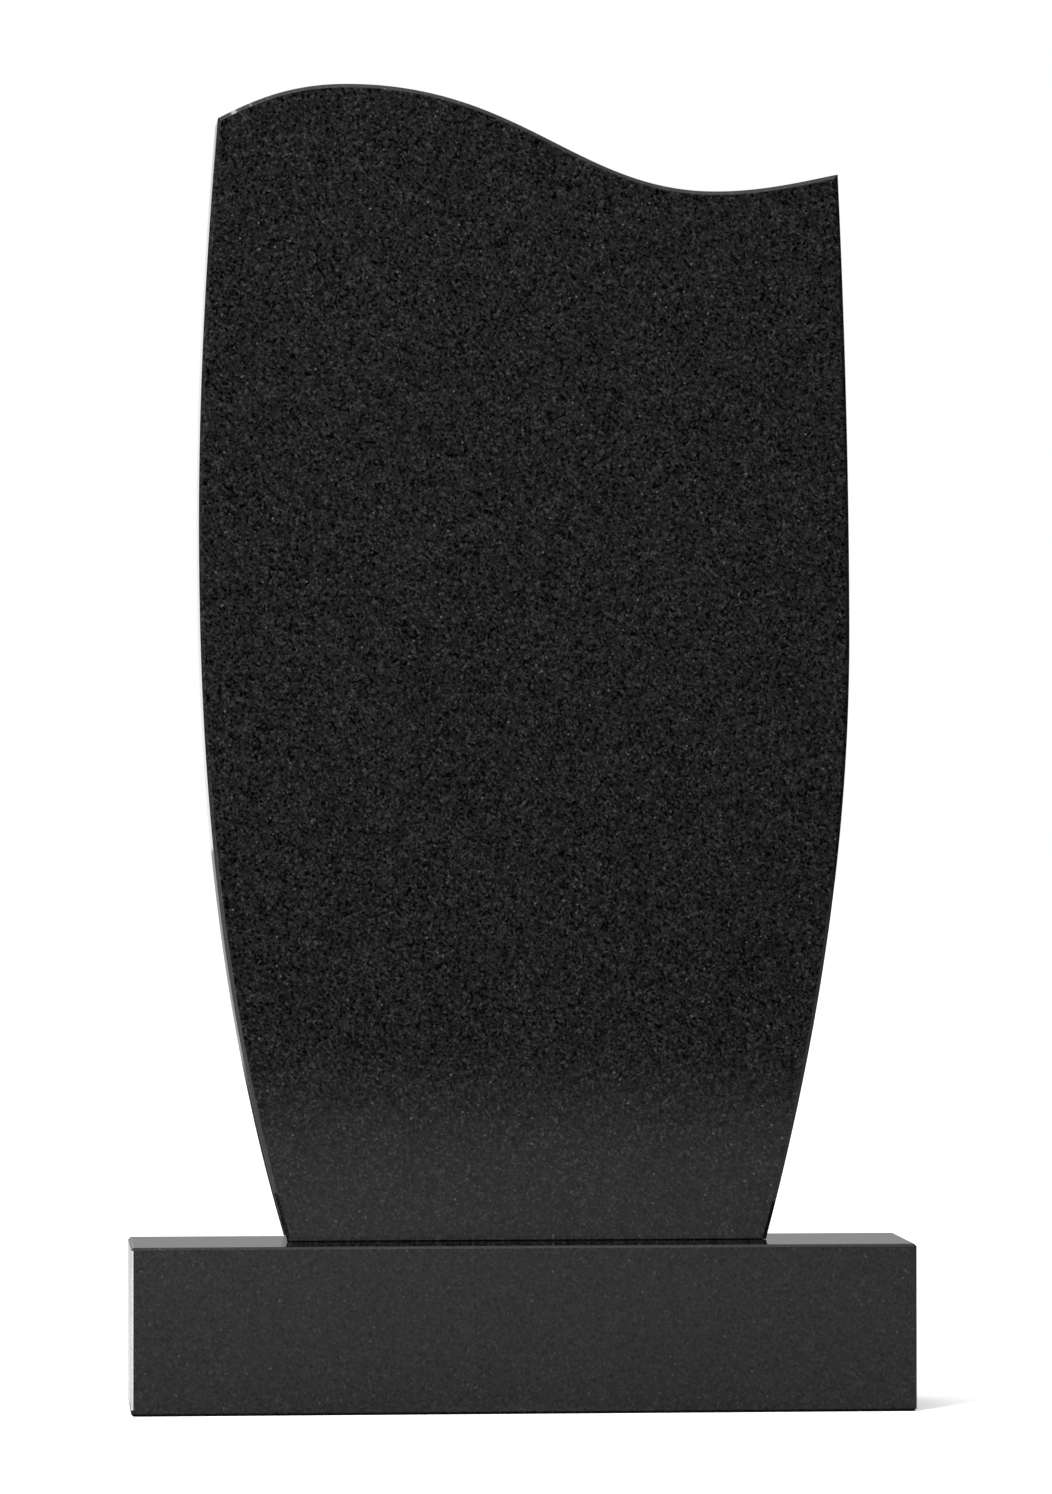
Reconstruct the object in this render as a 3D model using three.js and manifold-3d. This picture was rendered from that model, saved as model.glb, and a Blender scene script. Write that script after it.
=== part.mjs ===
// Upright headstone of polished black granite: a stele with a wave along its top, standing on a
// low plinth of the same stone. Nothing is carved or lettered on it.
// Millimetres, +Z up, the front facing -Y. The origin is the middle of the plinth's underside.

import * as THREE from "three";
import { ConvexGeometry } from "three/addons/geometries/ConvexGeometry.js";
import { mergeVertices } from "three/addons/utils/BufferGeometryUtils.js";
import Module from "manifold-3d";

// Plinth: one block, with all its edges taken off at 45 degrees
const plinthWidth = 600;
const plinthDepth = 130;
const plinthHeight = 128;
const plinthChamfer = 2;

// Stele: one slab, set towards the back of the plinth
const steleWidth = 503; // across the widest points of its two sides
const steleHeight = 890; // to the crest of the wave
const steleThickness = 70;
const steleChamfer = 3;
const steleFootChamfer = 0.5; // along the foot, where the slab meets the plinth
const steleSetback = 58; // from the plinth's front face to the stele's
const steleShift = 4.4; // it stands this far to the right of the plinth's middle
const jointGap = 0.3;

// Left side. Insets are measured in from the widest point, drops down from the crest,
// and a lean is how far the side moves outwards for each millimetre up.
const leftFootInset = 68;
const leftFootLean = 0.293;
const leftWidestHeight = 553;
const leftCornerInset = 14.5;
const leftCornerDrop = 27.3;
const leftCornerLean = -0.086;

// Right side
const rightFootInset = 65;
const rightFootLean = 0.266;
const rightWidestHeight = 464.5;
const rightCornerInset = 9;
const rightCornerDrop = 67;
const rightCornerLean = -0.047;

// Wave: up from the left corner to the crest, down to the trough, up again to the right corner
const crestFromLeft = 116;
const troughFromRight = 106;
const troughDrop = 80.8;
const leftCornerSlope = 0.52;
const rightCornerSlope = 0.21;

// How long each handle of the wave's curves is, as a share of the width of its stretch
const leftCornerFullness = 0.315;
const crestLeftFullness = 0.415;
const crestRightFullness = 0.47;
const troughLeftFullness = 0.37;
const troughRightFullness = 0.38;
const rightCornerFullness = 0.31;

const stepLength = 8; // of the short straight steps that a curve is cut into

const kernel = await Module();
kernel.setup();

const polishedGranite = new THREE.MeshStandardMaterial({
  color: 0x242526,
  roughness: 0.12,
  metalness: 0,
});

function point(x, y) {
  return new THREE.Vector2(x, y);
}

// One side from its foot up to its corner, drawn on the right (sign 1) or the left (sign -1):
// two curves that meet upright at the side's widest point.
function sideCurves(sign, footInset, footLean, widestHeight, cornerInset, cornerDrop, cornerLean) {
  const widestX = steleWidth / 2;
  const footX = widestX - footInset;
  const cornerX = widestX - cornerInset;
  const cornerHeight = steleHeight - cornerDrop;
  const lowerThird = widestHeight / 3;
  const upperThird = (cornerHeight - widestHeight) / 3;
  const widest = point(sign * widestX, widestHeight);
  return [
    new THREE.CubicBezierCurve(
      point(sign * footX, 0),
      point(sign * (footX + footLean * lowerThird), lowerThird),
      point(sign * widestX, widestHeight - lowerThird),
      widest,
    ),
    new THREE.CubicBezierCurve(
      widest,
      point(sign * widestX, widestHeight + upperThird),
      point(sign * (cornerX - cornerLean * upperThird), cornerHeight - upperThird),
      point(sign * cornerX, cornerHeight),
    ),
  ];
}

// The wave from one corner to the other. Its curves are level where they meet, at crest and trough.
function waveCurves(leftCorner, rightCorner) {
  const crest = point(crestFromLeft - steleWidth / 2, steleHeight);
  const trough = point(steleWidth / 2 - troughFromRight, steleHeight - troughDrop);
  const leftRun = crest.x - leftCorner.x;
  const middleRun = trough.x - crest.x;
  const rightRun = rightCorner.x - trough.x;
  const leftHandle = leftCornerFullness * leftRun;
  const rightHandle = rightCornerFullness * rightRun;
  return [
    new THREE.CubicBezierCurve(
      leftCorner,
      point(leftCorner.x + leftHandle, leftCorner.y + leftHandle * leftCornerSlope),
      point(crest.x - crestLeftFullness * leftRun, crest.y),
      crest,
    ),
    new THREE.CubicBezierCurve(
      crest,
      point(crest.x + crestRightFullness * middleRun, crest.y),
      point(trough.x - troughLeftFullness * middleRun, trough.y),
      trough,
    ),
    new THREE.CubicBezierCurve(
      trough,
      point(trough.x + troughRightFullness * rightRun, trough.y),
      point(rightCorner.x - rightHandle, rightCorner.y - rightHandle * rightCornerSlope),
      rightCorner,
    ),
  ];
}

function backwards(curves) {
  return curves.toReversed().map((c) => new THREE.CubicBezierCurve(c.v3, c.v2, c.v1, c.v0));
}

// The ends of a curve's steps, without the point that it starts from
function stepsAlong(curve) {
  return curve.getSpacedPoints(Math.ceil(curve.getLength() / stepLength)).slice(1);
}

// The stele's face, anticlockwise from its right foot to its left one. It reaches below its foot by
// as much as the foot's chamfer is smaller than the others.
function steleOutline() {
  const below = steleChamfer - steleFootChamfer;
  const left = sideCurves(
    -1,
    leftFootInset,
    leftFootLean,
    leftWidestHeight,
    leftCornerInset,
    leftCornerDrop,
    leftCornerLean,
  );
  const right = sideCurves(
    1,
    rightFootInset,
    rightFootLean,
    rightWidestHeight,
    rightCornerInset,
    rightCornerDrop,
    rightCornerLean,
  );
  const wave = waveCurves(left[1].v3, right[1].v3);
  const round = [...right, ...backwards(wave), ...backwards(left)].flatMap(stepsAlong);
  const rightFoot = right[0].v0;
  const leftFoot = round.pop();
  return new THREE.Shape([
    point(rightFoot.x - below * rightFootLean, -below),
    ...round,
    point(leftFoot.x + below * leftFootLean, -below),
  ]);
}

// What is left of a closed geometry once everything below its own level 0 is sawn off
function sawnLevel(geometry) {
  const bare = new THREE.BufferGeometry();
  bare.setAttribute("position", geometry.getAttribute("position"));
  const merged = mergeVertices(bare, 1e-3);
  const whole = new kernel.Manifold(
    new kernel.Mesh({
      numProp: 3,
      vertProperties: merged.getAttribute("position").array,
      triVerts: new Uint32Array(merged.index.array),
    }),
  );
  const kept = whole.trimByPlane([0, 1, 0], 0).getMesh();
  const sawn = new THREE.BufferGeometry();
  sawn.setAttribute("position", new THREE.BufferAttribute(kept.vertProperties, 3));
  sawn.setIndex(new THREE.BufferAttribute(kept.triVerts, 1));
  return sawn;
}

// The slab is extruded from its back chamfer to its front one, sawn level at its foot, then stood up
// on the plinth.
function makeStele() {
  const geometry = new THREE.ExtrudeGeometry(steleOutline(), {
    depth: steleThickness - 2 * steleChamfer,
    bevelThickness: steleChamfer,
    bevelSize: steleChamfer,
    bevelOffset: -steleChamfer,
    bevelSegments: 1,
  });
  const mesh = new THREE.Mesh(sawnLevel(geometry), polishedGranite);
  const steleBack = steleSetback + steleThickness - plinthDepth / 2;
  mesh.name = "stele";
  mesh.rotation.x = Math.PI / 2;
  mesh.position.set(steleShift, steleBack - steleChamfer, plinthHeight + jointGap);
  return mesh;
}

// The block is the hull of its six faces, each drawn back from the edges by the chamfer.
function makePlinth() {
  const x = plinthWidth / 2;
  const y = plinthDepth / 2;
  const z = plinthHeight / 2;
  const c = plinthChamfer;
  const corners = [];
  for (const sx of [-1, 1]) {
    for (const sy of [-1, 1]) {
      for (const sz of [-1, 1]) {
        corners.push(new THREE.Vector3(sx * x, sy * (y - c), sz * (z - c)));
        corners.push(new THREE.Vector3(sx * (x - c), sy * y, sz * (z - c)));
        corners.push(new THREE.Vector3(sx * (x - c), sy * (y - c), sz * z));
      }
    }
  }
  const mesh = new THREE.Mesh(new ConvexGeometry(corners), polishedGranite);
  mesh.name = "plinth";
  mesh.position.z = z;
  return mesh;
}

const headstone = new THREE.Group();
headstone.name = "headstone";
headstone.add(makePlinth());
headstone.add(makeStele());

export default headstone;
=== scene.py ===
import math

import bmesh
import bpy
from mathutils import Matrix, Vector


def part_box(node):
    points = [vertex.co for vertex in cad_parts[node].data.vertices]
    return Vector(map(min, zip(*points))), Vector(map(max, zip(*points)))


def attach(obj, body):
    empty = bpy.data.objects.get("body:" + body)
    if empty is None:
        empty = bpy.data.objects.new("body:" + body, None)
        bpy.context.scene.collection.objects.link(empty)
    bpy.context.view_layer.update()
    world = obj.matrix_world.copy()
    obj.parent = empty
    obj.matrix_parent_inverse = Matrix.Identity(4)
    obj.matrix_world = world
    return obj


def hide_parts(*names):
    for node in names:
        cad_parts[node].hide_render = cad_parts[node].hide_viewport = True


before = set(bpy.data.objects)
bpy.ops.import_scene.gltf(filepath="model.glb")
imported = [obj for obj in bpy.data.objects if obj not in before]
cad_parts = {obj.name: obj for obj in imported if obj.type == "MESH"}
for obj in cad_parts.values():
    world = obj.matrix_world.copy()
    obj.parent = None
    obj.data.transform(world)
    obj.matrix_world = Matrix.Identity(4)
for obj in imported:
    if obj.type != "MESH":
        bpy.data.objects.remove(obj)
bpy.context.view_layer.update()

# Upright headstone of polished black granite, seen from the front left.
# Metres, +Z up, the polished front facing -Y.

steleLow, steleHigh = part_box("stele")
plinthLow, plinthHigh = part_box("plinth")


# Camera, where the photograph was taken from
photo = {
    "width": 1052,
    "height": 1494,
    "focalPixels": 6550,
    "place": (-0.3903, -5.0356, 0.4714),
    "turn": 4.4906,  # degrees to the right of the stone's own axis
    "tilt": 0.41525,  # degrees up from level
}


def addCamera():
    data = bpy.data.cameras.new("camera")
    data.sensor_width = 36
    data.lens = photo["focalPixels"] * data.sensor_width / max(photo["width"], photo["height"])
    data.clip_end = 200
    camera = bpy.data.objects.new("camera", data)
    camera.location = photo["place"]
    camera.rotation_euler = (math.radians(90 + photo["tilt"]), 0, math.radians(-photo["turn"]))
    bpy.context.scene.collection.objects.link(camera)
    bpy.context.scene.camera = camera
    print("camera ready, lens", round(data.lens, 1))


addCamera()


# Node tree helpers
def newNode(tree, kind, **settings):
    node = tree.nodes.new(kind)
    for name, value in settings.items():
        setattr(node, name, value)
    return node


def setInputs(node, **values):
    for name, value in values.items():
        node.inputs[name].default_value = value


def mathNode(tree, operation, first, second=None, third=None):
    node = newNode(tree, "ShaderNodeMath", operation=operation)
    for socket, value in zip(node.inputs, (first, second, third)):
        if value is None:
            continue
        if isinstance(value, (int, float)):
            socket.default_value = value
        else:
            tree.links.new(value, socket)
    return node.outputs[0]


def rampNode(tree, factor, stops):
    node = newNode(tree, "ShaderNodeValToRGB")
    elements = node.color_ramp.elements
    while len(elements) < len(stops):
        elements.new(0.5)
    for element, (place, grey) in zip(elements, stops):
        element.position = place
        element.color = (grey, grey, grey, 1)
    tree.links.new(factor, node.inputs["Fac"])
    return node.outputs["Color"]


def rampBetween(tree, value, span, low, high):
    # goes smoothly from low to high while the value goes through the span
    node = newNode(tree, "ShaderNodeMapRange", interpolation_type="SMOOTHSTEP")
    setInputs(node, **{"From Min": span[0], "From Max": span[1], "To Min": low, "To Max": high})
    tree.links.new(value, node.inputs["Value"])
    return node.outputs["Result"]


# The stone's grain, one solid texture that runs on round every edge
grain = {
    "crystal": 0.00187,  # usual width of one crystal, and the unit of the counts below
    "blocks": 1.1,  # crystals of even shape
    "lathsAcross": 1.3,  # long crystals, across and along them
    "lathsAlong": 0.65,
    "patches": 0.3,  # patches of stone in which the laths lie the same way
    "specks": 0.42,  # spaces that may hold a pale crystal
    "speckReach": 0.2,  # how much of its space a pale crystal takes
    "speckRarity": 0.86,  # share of the spaces that stay without one
    "speckBrightness": 0.08,
    "warp": 0.4,  # how far a crystal's sides wander
    "lathShare": 0.42,  # of the shade, and the block crystals have the rest
    "fineShare": 0.36,
    "cloudShare": 0.1,
    "shades": [  # a place in the mix, and how light the stone is there
        (0.0, 0.0),
        (0.18, 0.0004),
        (0.28, 0.0054),
        (0.4, 0.0106),
        (0.5, 0.0128),
        (0.62, 0.0156),
        (0.76, 0.0218),
        (1.0, 0.05),
    ],
}


def grainGroup():
    group = bpy.data.node_groups.new("graniteGrain", "ShaderNodeTree")
    face = group.interface
    for name in ("Crystal Size", "Lightness", "Contrast", "Specks"):
        socket = face.new_socket(name, in_out="INPUT", socket_type="NodeSocketFloat")
        socket.default_value = grain["crystal"] if name == "Crystal Size" else 1.0
    face.new_socket("Color", in_out="OUTPUT", socket_type="NodeSocketColor")
    face.new_socket("Dark Mineral", in_out="OUTPUT", socket_type="NodeSocketFloat")
    face.new_socket("Roughness Change", in_out="OUTPUT", socket_type="NodeSocketFloat")
    face.new_socket("Height", in_out="OUTPUT", socket_type="NodeSocketFloat")
    inlet = newNode(group, "NodeGroupInput")
    outlet = newNode(group, "NodeGroupOutput")
    links = group.links

    # place counted in crystals, pushed about so that no crystal has straight sides
    place = newNode(group, "ShaderNodeTexCoord").outputs["Object"]
    scaled = newNode(group, "ShaderNodeVectorMath", operation="SCALE")
    links.new(place, scaled.inputs[0])
    links.new(mathNode(group, "DIVIDE", 1.0, inlet.outputs["Crystal Size"]), scaled.inputs["Scale"])
    push = newNode(group, "ShaderNodeTexNoise")
    setInputs(push, Scale=0.9, Detail=2.0, Roughness=0.6)
    links.new(scaled.outputs[0], push.inputs["Vector"])
    centred = newNode(group, "ShaderNodeVectorMath", operation="SUBTRACT")
    centred.inputs[1].default_value = (0.5, 0.5, 0.5)
    links.new(push.outputs["Color"], centred.inputs[0])
    warped = newNode(group, "ShaderNodeVectorMath", operation="MULTIPLY_ADD")
    warped.inputs[1].default_value = (grain["warp"],) * 3
    links.new(centred.outputs[0], warped.inputs[0])
    links.new(scaled.outputs[0], warped.inputs[2])

    def cells(turn, scale, counts=(1, 1, 1)):
        mapping = newNode(group, "ShaderNodeMapping", vector_type="TEXTURE")
        mapping.inputs["Rotation"].default_value = turn
        mapping.inputs["Scale"].default_value = [1 / count for count in counts]
        links.new(warped.outputs[0], mapping.inputs["Vector"])
        voronoi = newNode(group, "ShaderNodeTexVoronoi", feature="F1")
        setInputs(voronoi, Scale=scale, Randomness=1.0)
        links.new(mapping.outputs[0], voronoi.inputs["Vector"])
        split = newNode(group, "ShaderNodeSeparateColor")
        links.new(voronoi.outputs["Color"], split.inputs[0])
        return split.outputs[0], split.outputs[1], voronoi.outputs["Distance"]

    block, _, blockDistance = cells((0.4, 0.9, 0.2), grain["blocks"])

    # in each patch of stone the laths lie one way or the other
    laths = (grain["lathsAcross"], grain["lathsAcross"], grain["lathsAlong"])
    lathOne, _, _ = cells((0.3, 0.75, 0.2), 1.0, laths)
    lathTwo, _, _ = cells((-0.2, -0.8, 0.5), 1.0, laths)
    patch, _, _ = cells((0.2, 0.1, 0.7), 1.0, (grain["patches"],) * 3)
    choose = mathNode(group, "GREATER_THAN", patch, 0.5)
    lath = newNode(group, "ShaderNodeMix", data_type="FLOAT")
    links.new(choose, lath.inputs["Factor"])
    links.new(lathOne, lath.inputs["A"])
    links.new(lathTwo, lath.inputs["B"])
    blockPart = mathNode(group, "MULTIPLY", block, 1 - grain["lathShare"])
    mixed = mathNode(group, "MULTIPLY_ADD", lath.outputs["Result"], grain["lathShare"], blockPart)
    fine = newNode(group, "ShaderNodeTexNoise")
    setInputs(fine, Scale=2.6, Detail=3.0, Roughness=0.6)
    links.new(scaled.outputs[0], fine.inputs["Vector"])
    cloud = newNode(group, "ShaderNodeTexNoise")
    setInputs(cloud, Scale=0.055, Detail=3.0, Roughness=0.6)
    links.new(scaled.outputs[0], cloud.inputs["Vector"])

    def evenShift(noise, share):
        return mathNode(group, "MULTIPLY_ADD", noise.outputs["Fac"], share, -share / 2)

    fineShift = evenShift(fine, grain["fineShare"])
    cloudShift = evenShift(cloud, grain["cloudShare"])
    shade = mathNode(group, "ADD", mixed, mathNode(group, "ADD", fineShift, cloudShift))
    spread = mathNode(
        group, "MULTIPLY_ADD", mathNode(group, "SUBTRACT", shade, 0.5), inlet.outputs["Contrast"], 0.5
    )
    body = rampNode(group, spread, grain["shades"])

    # a few small pale crystals
    speck, speckOther, speckDistance = cells((1.1, 0.2, 0.6), grain["specks"])
    near = mathNode(group, "LESS_THAN", speckDistance, grain["speckReach"])
    rare = mathNode(group, "GREATER_THAN", speck, grain["speckRarity"])
    glint = mathNode(group, "MULTIPLY", mathNode(group, "MULTIPLY", near, rare), speckOther)
    glint = mathNode(group, "MULTIPLY", glint, inlet.outputs["Specks"])
    tone = mathNode(group, "MULTIPLY_ADD", glint, grain["speckBrightness"], body)
    tone = mathNode(group, "MULTIPLY", tone, inlet.outputs["Lightness"])
    links.new(tone, outlet.inputs["Color"])

    dark = mathNode(group, "SUBTRACT", 1.0, spread)
    dark.node.use_clamp = True
    links.new(dark, outlet.inputs["Dark Mineral"])
    links.new(fine.outputs["Fac"], outlet.inputs["Roughness Change"])
    links.new(mathNode(group, "ADD", blockDistance, fine.outputs["Fac"]), outlet.inputs["Height"])
    return group


graniteGrain = grainGroup()


def graniteMaterial(name, finish):
    material = bpy.data.materials.new(name)
    material.use_nodes = True
    tree = material.node_tree
    shader = tree.nodes["Principled BSDF"]
    speckle = newNode(tree, "ShaderNodeGroup", node_tree=graniteGrain)
    speckle.inputs["Crystal Size"].default_value = grain["crystal"]
    speckle.inputs["Lightness"].default_value = finish["lightness"]
    speckle.inputs["Contrast"].default_value = finish["contrast"]
    speckle.inputs["Specks"].default_value = finish["specks"]
    tree.links.new(speckle.outputs["Color"], shader.inputs["Base Color"])
    rough = mathNode(
        tree,
        "MULTIPLY_ADD",
        speckle.outputs["Roughness Change"],
        finish["roughChange"],
        finish["roughness"] - finish["roughChange"] / 2,
    )
    tree.links.new(rough, shader.inputs["Roughness"])
    shader.inputs["IOR"].default_value = finish["ior"]
    if finish["polish"] > 0:
        coat = mathNode(tree, "MULTIPLY", speckle.outputs["Dark Mineral"], finish["polish"])
        tree.links.new(coat, shader.inputs["Coat Weight"])
        shader.inputs["Coat Roughness"].default_value = finish["polishRoughness"]
    if finish["relief"] > 0:
        bump = newNode(tree, "ShaderNodeBump")
        setInputs(bump, Strength=finish["reliefStrength"], Distance=finish["relief"])
        tree.links.new(speckle.outputs["Height"], bump.inputs["Height"])
        tree.links.new(bump.outputs["Normal"], shader.inputs["Normal"])
    return material


finishes = {
    "polishedSlab": {
        "lightness": 1.06,
        "contrast": 1.09,
        "specks": 1.15,
        "roughness": 0.05,
        "roughChange": 0.03,
        "ior": 1.5,
        "polish": 0.5,
        "polishRoughness": 0.03,
        "relief": 0,
    },
    # the plinth's copy of the granite: its weaker grain contrast is painted shade for the lesser
    # light that falls on the plinth, and its lightness is set with it to match the plinth's lit tone
    "polishedBlockPaintedShade": {
        "lightness": 1.14,
        "contrast": 0.8,
        "specks": 0.6,
        "roughness": 0.06,
        "roughChange": 0.03,
        "ior": 1.5,
        "polish": 0.5,
        "polishRoughness": 0.03,
        "relief": 0,
    },
    "honed": {
        "lightness": 1.5,
        "contrast": 0.8,
        "specks": 1.0,
        "roughness": 0.42,
        "roughChange": 0.12,
        "ior": 1.5,
        "polish": 0,
        "relief": 0.0002,
        "reliefStrength": 0.15,
    },
    "sawn": {
        "lightness": 3.2,
        "contrast": 0.7,
        "specks": 0.6,
        "roughness": 0.7,
        "roughChange": 0.2,
        "ior": 1.5,
        "polish": 0,
        "relief": 0.0005,
        "reliefStrength": 0.4,
    },
}
polishedSlab = graniteMaterial("polishedSlab", finishes["polishedSlab"])
polishedBlockPaintedShade = graniteMaterial("polishedBlockPaintedShade", finishes["polishedBlockPaintedShade"])
honedGranite = graniteMaterial("honedGranite", finishes["honed"])
sawnGranite = graniteMaterial("sawnGranite", finishes["sawn"])
print("granite ready")


# Stele
stele = {
    "chamfer": 0.003,
    "footChamfer": 0.0005,  # along the foot, where the slab meets the plinth
    "arris": 0.0003,  # rounding left on the two edges of each chamfer
    "step": 0.003,  # of the short straight steps that a curve is cut into
    "cornerStep": 0.0055,  # the step next to a corner, longer so that the chamfer closes there
    "left": {
        "footInset": 0.068,
        "footLean": 0.293,
        "widestHeight": 0.553,
        "cornerInset": 0.0145,
        "cornerDrop": 0.0273,
        "cornerLean": -0.086,
    },
    "right": {
        "footInset": 0.065,
        "footLean": 0.266,
        "widestHeight": 0.4645,
        "cornerInset": 0.009,
        "cornerDrop": 0.067,
        "cornerLean": -0.047,
    },
    "wave": {
        "crestFromLeft": 0.116,
        "troughFromRight": 0.106,
        "troughDrop": 0.0808,
        "leftSlope": 0.52,
        "rightSlope": 0.21,
        "leftFullness": 0.315,
        "crestLeftFullness": 0.415,
        "crestRightFullness": 0.47,
        "troughLeftFullness": 0.37,
        "troughRightFullness": 0.38,
        "rightFullness": 0.31,
    },
}


def curvePoints(a, b, c, d):
    # even steps along a cubic curve, both ends included
    fineSteps = 400
    fine = []
    for i in range(fineSteps + 1):
        t = i / fineSteps
        s = 1 - t
        fine.append(a * s**3 + b * 3 * s * s * t + c * 3 * s * t * t + d * t**3)
    run = [0.0]
    for p, q in zip(fine, fine[1:]):
        run.append(run[-1] + (q - p).length)
    count = math.ceil(run[-1] / stele["step"])
    points = []
    k = 0
    for i in range(count + 1):
        goal = run[-1] * i / count
        while k < fineSteps - 1 and run[k + 1] < goal:
            k += 1
        share = (goal - run[k]) / (run[k + 1] - run[k])
        points.append(fine[k].lerp(fine[k + 1], min(share, 1)))
    return points


def joined(*stretches):
    points = list(stretches[0])
    for stretch in stretches[1:]:
        points += stretch[1:]
    return points


def sidePoints(sign, side, width, height):
    widestX = width / 2
    footX = widestX - side["footInset"]
    cornerX = widestX - side["cornerInset"]
    cornerZ = height - side["cornerDrop"]
    lower = side["widestHeight"] / 3
    upper = (cornerZ - side["widestHeight"]) / 3
    widest = Vector((sign * widestX, side["widestHeight"]))
    return joined(
        curvePoints(
            Vector((sign * footX, 0)),
            Vector((sign * (footX + side["footLean"] * lower), lower)),
            Vector((sign * widestX, side["widestHeight"] - lower)),
            widest,
        ),
        curvePoints(
            widest,
            Vector((sign * widestX, side["widestHeight"] + upper)),
            Vector((sign * (cornerX - side["cornerLean"] * upper), cornerZ - upper)),
            Vector((sign * cornerX, cornerZ)),
        ),
    )


def wavePoints(wave, leftCorner, rightCorner, width, height):
    crest = Vector((wave["crestFromLeft"] - width / 2, height))
    trough = Vector((width / 2 - wave["troughFromRight"], height - wave["troughDrop"]))
    leftRun = crest.x - leftCorner.x
    middleRun = trough.x - crest.x
    rightRun = rightCorner.x - trough.x
    leftHandle = wave["leftFullness"] * leftRun
    rightHandle = wave["rightFullness"] * rightRun
    return joined(
        curvePoints(
            leftCorner,
            leftCorner + Vector((leftHandle, leftHandle * wave["leftSlope"])),
            crest - Vector((wave["crestLeftFullness"] * leftRun, 0)),
            crest,
        ),
        curvePoints(
            crest,
            crest + Vector((wave["crestRightFullness"] * middleRun, 0)),
            trough - Vector((wave["troughLeftFullness"] * middleRun, 0)),
            trough,
        ),
        curvePoints(
            trough,
            trough + Vector((wave["troughRightFullness"] * rightRun, 0)),
            rightCorner - Vector((rightHandle, rightHandle * wave["rightSlope"])),
            rightCorner,
        ),
    )


def clearOfEnds(points):
    # drops the points that stand closer to either corner than the corner step
    first, last = points[0], points[-1]
    room = stele["cornerStep"]
    inner = [p for p in points[1:-1] if (p - first).length > room and (p - last).length > room]
    return [first] + inner + [last]


def steleOutline(width, height):
    # anticlockwise as the front is seen, from the right foot to the left one; it reaches below
    # its foot by as much as the foot's chamfer is smaller than the others
    left = sidePoints(-1, stele["left"], width, height)
    right = sidePoints(1, stele["right"], width, height)
    wave = wavePoints(stele["wave"], left[-1], right[-1], width, height)
    below = stele["chamfer"] - stele["footChamfer"]
    left[0] -= Vector((-stele["left"]["footLean"], 1)) * below
    right[0] -= Vector((stele["right"]["footLean"], 1)) * below
    return joined(clearOfEnds(right), clearOfEnds(wave)[::-1], clearOfEnds(left)[::-1])


def drawnIn(outline, inset):
    # the outline moved inwards by the inset, with true mitres at its corners
    moved = []
    count = len(outline)
    for i, p in enumerate(outline):
        before = (p - outline[i - 1]).normalized()
        after = (outline[(i + 1) % count] - p).normalized()
        normal = Vector((-before.y, before.x)) + Vector((-after.y, after.x))
        normal.normalize()
        reach = inset / max(normal.dot(Vector((-after.y, after.x))), 0.2)
        moved.append(p + normal * reach)
    return moved


def slabMesh(name, outline, chamfer, front, back, middleX, foot):
    # four rings of the outline, closed by the front and back faces
    rings = [(chamfer, front), (0, front + chamfer), (0, back - chamfer), (chamfer, back)]
    work = bmesh.new()
    loops = []
    for inset, y in rings:
        shape = drawnIn(outline, inset) if inset else outline
        loops.append([work.verts.new((p.x + middleX, y, p.y + foot)) for p in shape])
    count = len(outline)
    for ring, following in zip(loops, loops[1:]):
        for i in range(count):
            j = (i + 1) % count
            work.faces.new((ring[i], following[i], following[j], ring[j]))
    work.faces.new(loops[0])
    backFace = work.faces.new(loops[-1][::-1])
    backFace.material_index = 1
    # the foot is sawn level
    sawn = bmesh.ops.bisect_plane(
        work,
        geom=work.verts[:] + work.edges[:] + work.faces[:],
        plane_co=(0, 0, foot),
        plane_no=(0, 0, 1),
        clear_inner=True,
    )
    cut = [part for part in sawn["geom_cut"] if isinstance(part, bmesh.types.BMEdge)]
    bmesh.ops.contextual_create(work, geom=cut)
    bmesh.ops.recalc_face_normals(work, faces=work.faces)
    mesh = bpy.data.meshes.new(name)
    work.to_mesh(mesh)
    work.free()
    return mesh


def finishPiece(name, mesh, node, materials, arris):
    piece = bpy.data.objects.new(name, mesh)
    bpy.context.scene.collection.objects.link(piece)
    for material in materials:
        mesh.materials.append(material)
    mesh.polygons.foreach_set("use_smooth", [True] * len(mesh.polygons))
    bevel = piece.modifiers.new("arrises", "BEVEL")
    bevel.limit_method = "ANGLE"
    bevel.angle_limit = math.radians(25)
    bevel.width = arris
    bevel.segments = 3
    bevel.harden_normals = True
    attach(piece, "root")
    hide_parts(node)
    return piece


def makeStele():
    width = steleHigh.x - steleLow.x
    height = steleHigh.z - steleLow.z
    middleX = (steleLow.x + steleHigh.x) / 2
    outline = steleOutline(width, height)
    mesh = slabMesh(
        "steleStone",
        outline,
        stele["chamfer"],
        steleLow.y,
        steleHigh.y,
        middleX,
        steleLow.z,
    )
    finishPiece(
        "steleStone",
        mesh,
        "stele",
        [polishedSlab, honedGranite],
        stele["arris"],
    )
    print("stele ready,", len(outline), "points round its outline")


makeStele()


# Plinth
plinth = {"chamfer": 0.002, "arris": 0.00025}


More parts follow.
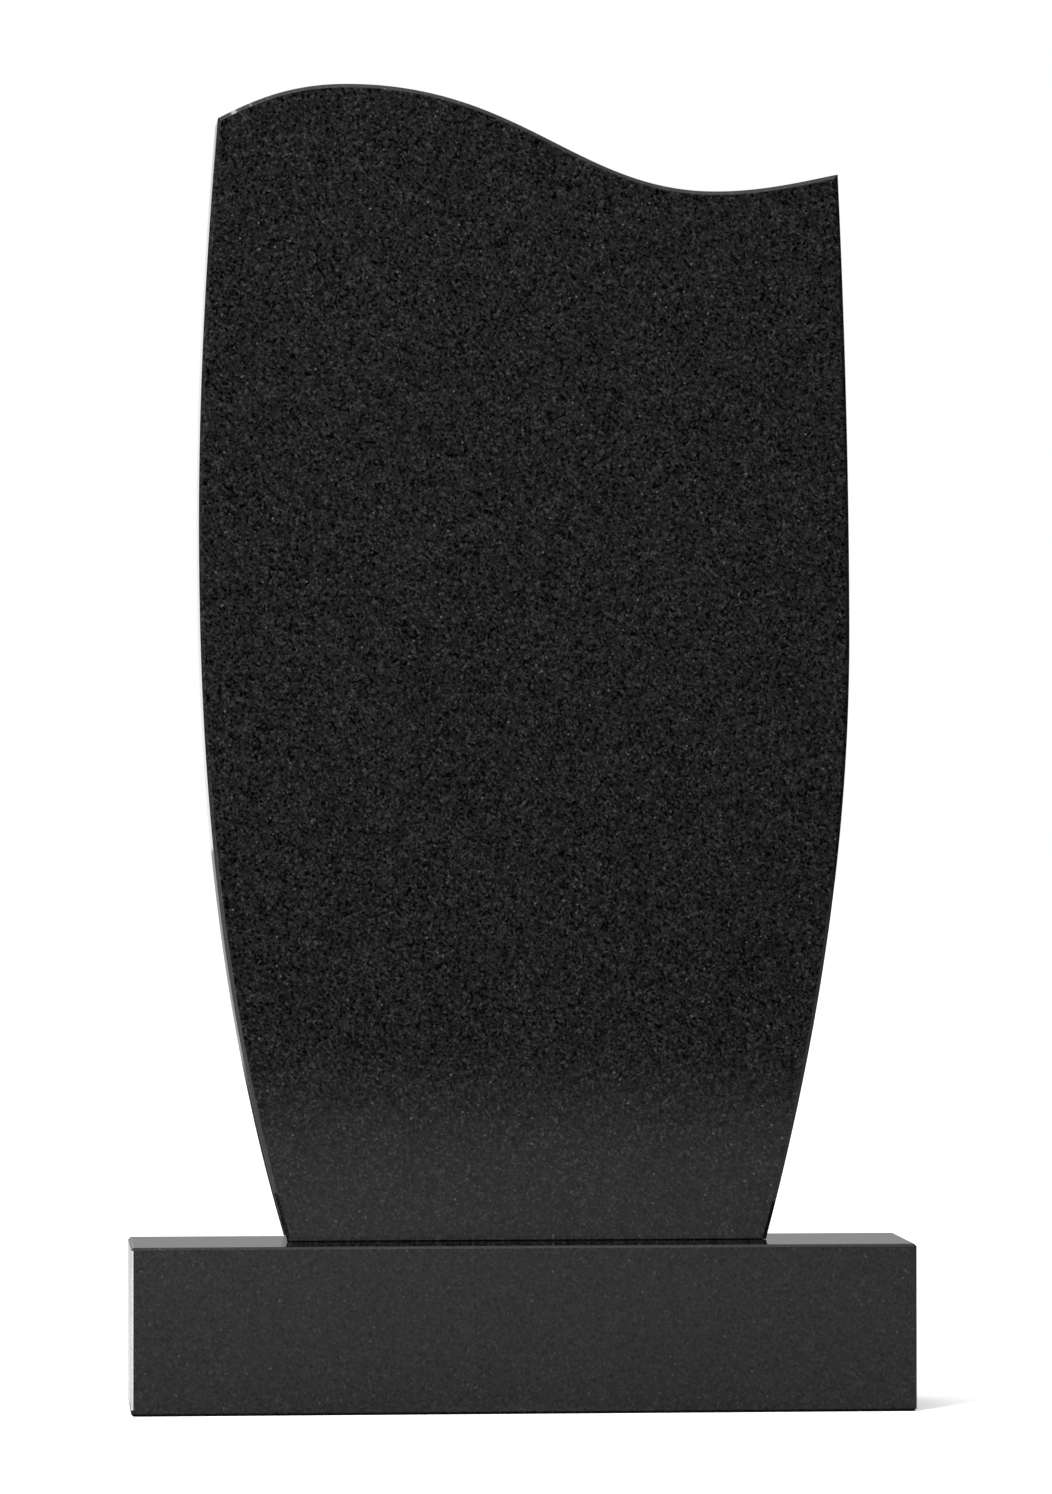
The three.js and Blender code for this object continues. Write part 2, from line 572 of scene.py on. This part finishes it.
def makePlinth():
    size = plinthHigh - plinthLow
    middle = (plinthHigh + plinthLow) / 2
    work = bmesh.new()
    bmesh.ops.create_cube(work, size=1)
    for vertex in work.verts:
        vertex.co = Vector([v * s for v, s in zip(vertex.co, size)]) + middle
    bmesh.ops.bevel(
        work,
        geom=work.edges[:],
        offset=plinth["chamfer"],
        offset_type="OFFSET",
        segments=1,
        affect="EDGES",
    )
    for face in work.faces:
        if face.normal.y > 0.9:
            face.material_index = 1
        elif face.normal.z < -0.9:
            face.material_index = 2
    mesh = bpy.data.meshes.new("plinthStone")
    work.to_mesh(mesh)
    work.free()
    finishPiece(
        "plinthStone",
        mesh,
        "plinth",
        [polishedBlockPaintedShade, honedGranite, sawnGranite],
        plinth["arris"],
    )
    print("plinth ready")


makePlinth()


# Floor and light. A range runs from the place where a change begins to the one where it is whole.
studio = {
    "floorSize": 60,
    "floorGrey": 0.5,  # for the soft light that it throws back
    "floorSeen": 1.62,  # bright enough for the camera to see it as plain white
    # painted reflection: the floor levels below are painted brightness that the polish shows,
    # standing in for how lit the floor is on each side
    "floorInFront": 0.29,  # what the polished stone shows of the floor on each side of it
    "floorLeft": 0.6,
    "floorRight": 0.3,
    "floorBehind": 0.74,
    "floorFarBehind": 0.5,
    "floorFarLeft": 0.15,
    "floorDark": 0.02,  # far in front and far to the right
    "inFrontRange": (-7.5, -3.2),  # along Y, coming nearer
    "leftRange": (-9.0, -3.4),  # along X, coming nearer
    "rightRange": (2.4, 4.6),  # along X, going away
    "farBehindRange": (2.0, 8.0),
    "sidesRange": (0.3, 0.6),  # how much further sideways than in front a place on a side lies
    "behindRange": (-0.17, 0.0),  # along Y, less the slant for each metre off the middle
    "behindSlant": 0.35,
    # painted contact shadow in the floor's reflection, just before the plinth's front face
    "contactShadowRange": (0.025, 0.003),  # before the plinth's front face, where the floor is darkest
    "contactShadowLoss": 0.95,
    "top": 0.92,  # brightness of the room on each side, above the floor
    "topInPolish": 0.8,
    "topRange": (0.35, 0.8),  # for the room, a range is a part of the way to that side
    "topRightLoss": 0.5,  # share of it that the polish loses towards the right
    "topRightRange": (0.05, 0.6),
    "left": 0.1,
    "leftRoomRange": (0.3, 0.85),
    "back": 0.34,
    "backRange": (0.1, 0.6),
    "backLeft": 0.64,  # a band just left of straight behind, which lights the left side's rim
    "backLeftRange": (0.8, 0.95),
    "backLeftEdges": ((0.01, 0.02), (0.048, 0.038)),
    "dim": 0.015,  # everywhere else
    "keyPlace": (-2.4, -2.6, 2.8),
    "keyTarget": (0, 0, 0.4),
    "keySize": 1.6,
    "keyPower": 172,
}

# Small lamps that only the polish shows. One with a narrow spread, in degrees, shines just
# along its own way.
glints = [
    {
        "name": "plinthEdgeGlint",  # on the chamfer at the plinth's front left edge
        "place": (-0.345, -0.065, 0.066),
        "way": (0.997, 0.018, 0.081),
        "size": (0.13, 0.13),
        "radiance": 14,
        "spread": 9,
    },
    {
        "name": "footGlint",  # carries the floor's mirror image on down to the stele's foot
        "place": (0.006, -0.032, plinthHigh.z + 0.0006),
        "way": (0, 0, 1),
        "size": (0.37, 0.046),
        "radiance": 0.33,
        "spread": 180,
    },
    {
        "name": "widerSparkle",  # on the stele's top chamfer, near its left corner
        "place": (-0.768, 0.112, 2.385),
        "way": (0.553, -0.118, -1.389),
        "size": (0.02, 0.02),
        "radiance": 9,
        "spread": 8,
    },
    {
        "name": "smallerSparkle",
        "place": (-0.690, 0.117, 2.414),
        "way": (0.475, -0.123, -1.418),
        "size": (0.008, 0.008),
        "radiance": 9,
        "spread": 8,
    },
]


def addFloor():
    half = studio["floorSize"] / 2
    mesh = bpy.data.meshes.new("floor")
    corners = [(-half, -half, 0), (half, -half, 0), (half, half, 0), (-half, half, 0)]
    mesh.from_pydata(corners, [], [range(4)])
    floor = bpy.data.objects.new("floor", mesh)
    bpy.context.scene.collection.objects.link(floor)
    material = bpy.data.materials.new("paleFloor")
    material.use_nodes = True
    tree = material.node_tree
    shader = tree.nodes["Principled BSDF"]
    setInputs(shader, Roughness=0.9)
    shader.inputs["Specular IOR Level"].default_value = 0.0
    ray = newNode(tree, "ShaderNodeLightPath")
    place = newNode(tree, "ShaderNodeSeparateXYZ")
    tree.links.new(newNode(tree, "ShaderNodeTexCoord").outputs["Object"], place.inputs[0])
    across, along = place.outputs["X"], place.outputs["Y"]

    def blend(share, first, second):
        node = newNode(tree, "ShaderNodeMix", data_type="FLOAT")
        tree.links.new(share, node.inputs["Factor"])
        for socket, value in ((node.inputs["A"], first), (node.inputs["B"], second)):
            if isinstance(value, float):
                socket.default_value = value
            else:
                tree.links.new(value, socket)
        return node.outputs["Result"]

    # painted reflection: the polished stone sees a floor painted to fall off into a darker room, as
    # if less lit, except behind it, and with a painted contact shadow where it lies right under the
    # plinth's edge
    dark = studio["floorDark"]
    front = rampBetween(tree, along, studio["inFrontRange"], dark, studio["floorInFront"])
    left = rampBetween(tree, across, studio["leftRange"], studio["floorFarLeft"], studio["floorLeft"])
    right = rampBetween(tree, across, studio["rightRange"], studio["floorRight"], dark)
    offMiddle = mathNode(tree, "ABSOLUTE", across)
    onRight = mathNode(tree, "GREATER_THAN", across, 0.0)
    sideways = mathNode(tree, "SUBTRACT", offMiddle, mathNode(tree, "ABSOLUTE", along))
    backwards = mathNode(tree, "MULTIPLY_ADD", offMiddle, -studio["behindSlant"], along)
    sides = blend(onRight, left, right)
    around = blend(rampBetween(tree, sideways, studio["sidesRange"], 0.0, 1.0), front, sides)
    near, far = studio["floorBehind"], studio["floorFarBehind"]
    behind = rampBetween(tree, along, studio["farBehindRange"], near, far)
    around = blend(rampBetween(tree, backwards, studio["behindRange"], 0.0, 1.0), around, behind)
    # painted contact shadow: the floor's reflection darkens just before the plinth's front face
    contactShadowRange = [plinthLow.y - gap for gap in studio["contactShadowRange"]]
    paintedContactShadow = mathNode(
        tree,
        "MULTIPLY",
        mathNode(tree, "LESS_THAN", offMiddle, plinthHigh.x),
        rampBetween(tree, along, contactShadowRange, 0.0, studio["contactShadowLoss"]),
    )
    paintedReflection = mathNode(tree, "MULTIPLY", around, mathNode(tree, "SUBTRACT", 1.0, paintedContactShadow))
    grey = blend(ray.outputs["Is Glossy Ray"], studio["floorGrey"], paintedReflection)
    grey = blend(ray.outputs["Is Camera Ray"], grey, studio["floorSeen"])
    tree.links.new(grey, shader.inputs["Base Color"])
    mesh.materials.append(material)


def addWorld():
    world = bpy.data.worlds.new("softRoom")
    bpy.context.scene.world = world
    world.use_nodes = True
    tree = world.node_tree
    tree.nodes.clear()
    way = newNode(tree, "ShaderNodeSeparateXYZ")
    tree.links.new(newNode(tree, "ShaderNodeTexCoord").outputs["Generated"], way.inputs[0])

    def lobe(value, span, strength):
        return rampBetween(tree, value, span, 0.0, strength)

    # the top is dimmer in the polish, and dimmest on its right
    ray = newNode(tree, "ShaderNodeLightPath")
    topInPolish = studio["topInPolish"]
    rightLoss = lobe(way.outputs["X"], studio["topRightRange"], studio["topRightLoss"])
    inPolish = mathNode(tree, "MULTIPLY_ADD", rightLoss, -topInPolish, topInPolish)
    top = newNode(tree, "ShaderNodeMix", data_type="FLOAT")
    tree.links.new(ray.outputs["Is Glossy Ray"], top.inputs["Factor"])
    top.inputs["A"].default_value = studio["top"]
    tree.links.new(inPolish, top.inputs["B"])
    above = lobe(way.outputs["Z"], studio["topRange"], 1.0)
    light = mathNode(tree, "MULTIPLY_ADD", above, top.outputs["Result"], studio["dim"])
    leftwards = mathNode(tree, "MULTIPLY", way.outputs["X"], -1.0)
    light = mathNode(tree, "ADD", lobe(leftwards, studio["leftRoomRange"], studio["left"]), light)
    light = mathNode(tree, "ADD", lobe(way.outputs["Y"], studio["backRange"], studio["back"]), light)
    inner, outer = studio["backLeftEdges"]
    backLeft = mathNode(
        tree,
        "MULTIPLY",
        lobe(way.outputs["Y"], studio["backLeftRange"], studio["backLeft"]),
        mathNode(tree, "MULTIPLY", lobe(leftwards, inner, 1.0), lobe(leftwards, outer, 1.0)),
    )
    light = mathNode(tree, "ADD", backLeft, light)
    room = newNode(tree, "ShaderNodeBackground")
    tree.links.new(light, room.inputs["Color"])
    white = newNode(tree, "ShaderNodeBackground")
    white.inputs["Color"].default_value = (1, 1, 1, 1)
    mix = newNode(tree, "ShaderNodeMixShader")
    tree.links.new(ray.outputs["Is Camera Ray"], mix.inputs["Fac"])
    tree.links.new(room.outputs[0], mix.inputs[1])
    tree.links.new(white.outputs[0], mix.inputs[2])
    out = newNode(tree, "ShaderNodeOutputWorld")
    tree.links.new(mix.outputs[0], out.inputs["Surface"])


def addKeyLight():
    data = bpy.data.lights.new("key", "AREA")
    data.size = studio["keySize"]
    data.energy = studio["keyPower"]
    key = bpy.data.objects.new("key", data)
    key.location = studio["keyPlace"]
    aim = Vector(studio["keyTarget"]) - Vector(studio["keyPlace"])
    key.rotation_euler = aim.to_track_quat("-Z", "Y").to_euler()
    bpy.context.scene.collection.objects.link(key)


def addGlint(glint):
    width, height = glint["size"]
    data = bpy.data.lights.new(glint["name"], "AREA")
    data.shape = "RECTANGLE"
    data.size = width
    data.size_y = height
    data.spread = math.radians(glint["spread"])
    # a narrow lamp of the same power is this many times as bright along its own way
    gain = 1 if glint["spread"] == 180 else 3 / (data.spread / 2) ** 2
    data.energy = glint["radiance"] * math.pi * width * height / gain
    lamp = bpy.data.objects.new(glint["name"], data)
    lamp.location = glint["place"]
    lamp.rotation_euler = Vector(glint["way"]).to_track_quat("-Z", "Y").to_euler()
    lamp.visible_camera = False
    lamp.visible_diffuse = False
    lamp.visible_transmission = False
    bpy.context.scene.collection.objects.link(lamp)


addFloor()
addWorld()
addKeyLight()
for glint in glints:
    addGlint(glint)
bpy.context.scene.view_settings.view_transform = "Standard"
print("studio ready")
